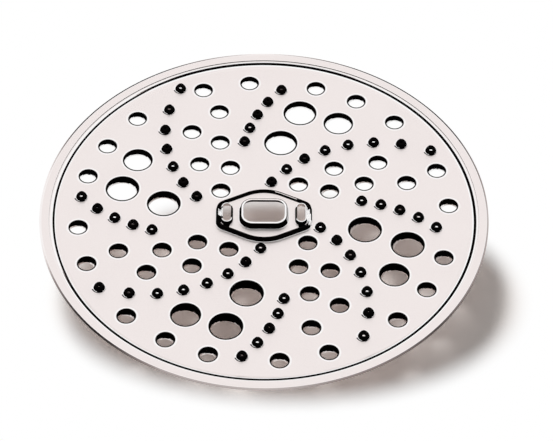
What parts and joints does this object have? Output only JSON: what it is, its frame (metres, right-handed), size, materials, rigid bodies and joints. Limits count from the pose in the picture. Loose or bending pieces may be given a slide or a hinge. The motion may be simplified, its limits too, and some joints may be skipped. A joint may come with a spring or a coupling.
{
  "type": "food mill rasping disc",
  "caption": "Round stamped steel disc with a raised rim, rows of pierced rasping teeth, drawn fall-through holes and a raised drive hub.",
  "frame": {"origin": "on the disc's axis, in the plane that the feet of the deepest collars rest on", "axes": "+Z along the disc's axis, out of the toothed face; +X along the hub's long axis"},
  "size_m": [0.145, 0.145, 0.0055],
  "materials": {
    "steel": "bright satin"
  },
  "bodies": {
    "root": {"rasping_disc": "steel"}
  },
  "joints": []
}
